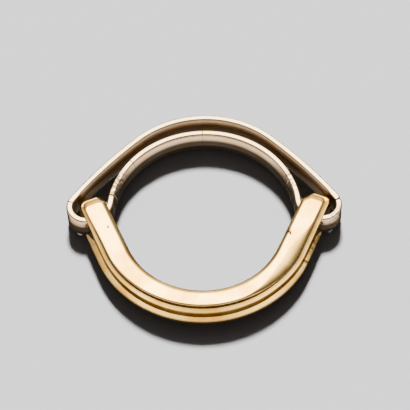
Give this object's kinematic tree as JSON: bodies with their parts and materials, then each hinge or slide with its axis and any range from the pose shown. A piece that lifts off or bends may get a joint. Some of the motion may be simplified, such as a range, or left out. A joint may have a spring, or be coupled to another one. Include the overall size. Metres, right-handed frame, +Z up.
{
  "type": "two-tone gold finger ring",
  "caption": "Finger ring: a stepped yellow gold stirrup in front, whose eyed arms hold a white gold band with an outer arch running off to hairpin turns.",
  "frame": {"origin": "under the middle of the ring's length and width, on the face that it lies on", "axes": "+Z up along the finger hole's axis, +Y towards the white gold arch, +X across, from hairpin to hairpin"},
  "size_m": [0.026, 0.0228, 0.0032],
  "materials": {
    "white_gold": "polished, warm white gold with fine wear",
    "yellow_gold": "polished yellow gold with fine wear, darkened in the steps"
  },
  "bodies": {
    "root": {"outer_arch": "white_gold", "inner_band": "white_gold", "stirrup": "yellow_gold"}
  },
  "joints": []
}
